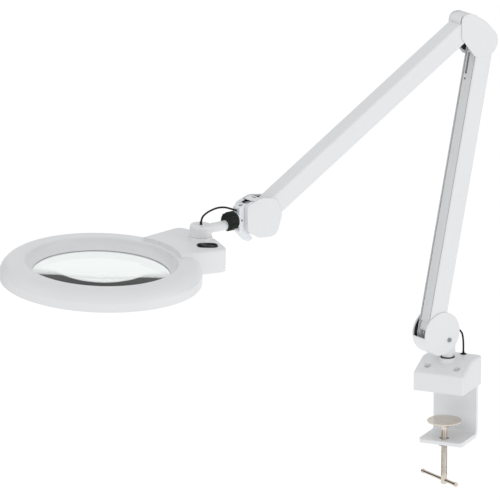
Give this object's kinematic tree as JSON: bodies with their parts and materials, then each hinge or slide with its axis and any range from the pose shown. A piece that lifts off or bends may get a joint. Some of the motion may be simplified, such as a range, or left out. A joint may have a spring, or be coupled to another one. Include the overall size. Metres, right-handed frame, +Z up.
{
  "type": "magnifying lamp",
  "caption": "Clamp-mounted magnifying lamp with a spring-balanced folding arm, a tilting ring-light head and a large round lens.",
  "frame": {"origin": "on the clamp's upper face, which rests on the table top, on the axis of the base swivel", "axes": "+Z up, -Y towards the clamp's open mouth, +X along the block's front edge; the arm's plane stands at 241.35 degrees about +Z from +X"},
  "size_m": [0.4315, 0.6598, 0.6141],
  "materials": {
    "black_plastic": "satin black",
    "black_rubber": "matt",
    "grey_paint": "satin pale grey casting paint",
    "lens_glass": "polished, anti-glare",
    "nickel": "nickel plate",
    "opal": "opal diffuser",
    "spring_steel": "oiled",
    "tube_glass": "white phosphor coating",
    "white_paint": "smooth semi-gloss white powder coat",
    "white_plastic": "satin white moulding",
    "zinc": "zinc plated steel"
  },
  "bodies": {
    "base": {"base_block": "white_plastic", "block_screws": "white_paint", "clamp_bracket": "white_paint", "jaw_nut": "zinc", "swivel_bush": "black_plastic", "inlet_gland": "black_rubber", "base_grommet": "black_rubber"},
    "clamp_pad": {"clamp_pad": "nickel"},
    "clamp_screw": {"clamp_screw": "nickel"},
    "tommy_bar": {"tommy_bar": "nickel"},
    "swivel": {"swivel_pin": "zinc", "swivel_clip": "zinc", "shoulder_bracket": "white_paint", "shoulder_cover_near": "white_plastic", "shoulder_cover_far": "white_plastic", "shoulder_fasteners": "zinc", "base_cable": "black_rubber"},
    "lower_arm": {"lower_channel": "white_paint", "lower_shell": "white_paint", "lower_pivot_bolts": "zinc", "lower_spring": "spring_steel", "lower_adjuster": "zinc"},
    "lower_tie": {"lower_tie_rod": "zinc"},
    "elbow": {"elbow_knuckle": "grey_paint", "elbow_cover_near": "white_plastic", "elbow_cover_far": "white_plastic", "elbow_fasteners": "zinc"},
    "upper_arm": {"upper_channel": "white_paint", "upper_shell": "white_paint", "upper_pivot_bolts": "zinc", "upper_spring": "spring_steel", "upper_adjuster": "zinc"},
    "upper_tie": {"upper_tie_rod": "zinc"},
    "wrist": {"wrist_link": "grey_paint", "wrist_cover_near": "white_plastic", "wrist_cover_far": "white_plastic", "wrist_fasteners": "zinc"},
    "nose": {"head_bracket": "grey_paint", "grub_screw": "zinc", "friction_washer": "grey_paint"},
    "roll_hub": {"hub": "black_plastic", "roll_pin": "zinc", "stem": "white_plastic", "head_cable": "black_rubber"},
    "head": {"head_top": "white_plastic", "rear_cover": "white_plastic", "ballast": "white_plastic", "swivel_tube": "zinc", "switch_body": "black_plastic", "diffuser": "opal", "lens": "lens_glass", "lens_gasket": "black_rubber", "lens_retainer": "white_plastic", "ring_tube": "tube_glass", "tube_socket": "white_plastic", "tube_clips": "zinc", "head_screws": "zinc"},
    "rocker": {"switch_rocker": "black_plastic"}
  },
  "joints": [
    {"name": "pad_slide", "type": "slide", "parent": "base", "child": "clamp_pad", "axis": [0, 0, 1], "range_m": [-0.0125, 0.04]},
    {"name": "screw_turn", "type": "hinge", "parent": "clamp_pad", "child": "clamp_screw", "pos_m": [0, -0.0088, -0.1], "axis": [0, 0, 1], "range_deg": [-3630, 11560]},
    {"name": "bar_slide", "type": "slide", "parent": "clamp_screw", "child": "tommy_bar", "axis": [0.8545, -0.5195, 0], "range_m": [-0.019, 0.039]},
    {"name": "swivel_turn", "type": "hinge", "parent": "base", "child": "swivel", "pos_m": [0, 0, 0.044], "axis": [0, 0, 1], "range_deg": [-75, 75], "deforming": ["base_cable"]},
    {"name": "shoulder_hinge", "type": "hinge", "parent": "swivel", "child": "lower_arm", "pos_m": [-0.01352, -0.02475, 0.076], "axis": [0.8776, -0.4795, 0], "range_deg": [-10, 50], "deforming": ["lower_spring"]},
    {"name": "lower_tie_hinge", "type": "hinge", "parent": "swivel", "child": "lower_tie", "pos_m": [-0.00924, -0.01692, 0.07717], "axis": [0.8776, -0.4795, 0], "range_deg": [-10.5, 50.5]},
    {"name": "elbow_hinge", "type": "hinge", "parent": "lower_arm", "child": "elbow", "pos_m": [0.02405, 0.04402, 0.44783], "axis": [0.8776, -0.4795, 0], "range_deg": [-50.5, 10.5]},
    {"name": "upper_hinge", "type": "hinge", "parent": "elbow", "child": "upper_arm", "pos_m": [0.01206, 0.02208, 0.47133], "axis": [0.8776, -0.4795, 0], "range_deg": [-50, 30], "deforming": ["upper_spring"]},
    {"name": "upper_tie_hinge", "type": "hinge", "parent": "elbow", "child": "upper_tie", "pos_m": [0.01053, 0.01927, 0.47975], "axis": [0.8776, -0.4795, 0], "range_deg": [-54, 34]},
    {"name": "wrist_hinge", "type": "hinge", "parent": "upper_arm", "child": "wrist", "pos_m": [-0.14444, -0.26436, 0.27676], "axis": [0.8776, -0.4795, 0], "range_deg": [-34, 54]},
    {"name": "nod_hinge", "type": "hinge", "parent": "wrist", "child": "nose", "pos_m": [-0.15151, -0.27731, 0.276], "axis": [0.8776, -0.4795, 0], "range_deg": [-25, 30]},
    {"name": "roll_hinge", "type": "hinge", "parent": "nose", "child": "roll_hub", "pos_m": [-0.16302, -0.29837, 0.2765], "axis": [-0.4795, -0.8776, 0], "range_deg": [-45, 45], "deforming": ["head_cable"]},
    {"name": "head_turn", "type": "hinge", "parent": "roll_hub", "child": "head", "pos_m": [-0.18812, -0.343, 0.26582], "axis": [0.052, -0.0284, 0.9982], "range_deg": [-100, 100]},
    {"name": "switch_rock", "type": "hinge", "parent": "head", "child": "rocker", "pos_m": [-0.16916, -0.36438, 0.25861], "axis": [-0.4979, 0.8657, 0.0506], "range_deg": [0, 16]}
  ],
  "couplings": [
    {"joint": "screw_turn", "follows": "pad_slide", "rad_per_m": 5026.5},
    {"joint": "lower_tie_hinge", "follows": "shoulder_hinge", "ratio": 1},
    {"joint": "elbow_hinge", "follows": "shoulder_hinge", "ratio": -1},
    {"joint": "upper_tie_hinge", "follows": "upper_hinge", "ratio": 1},
    {"joint": "wrist_hinge", "follows": "upper_hinge", "ratio": -1}
  ]
}
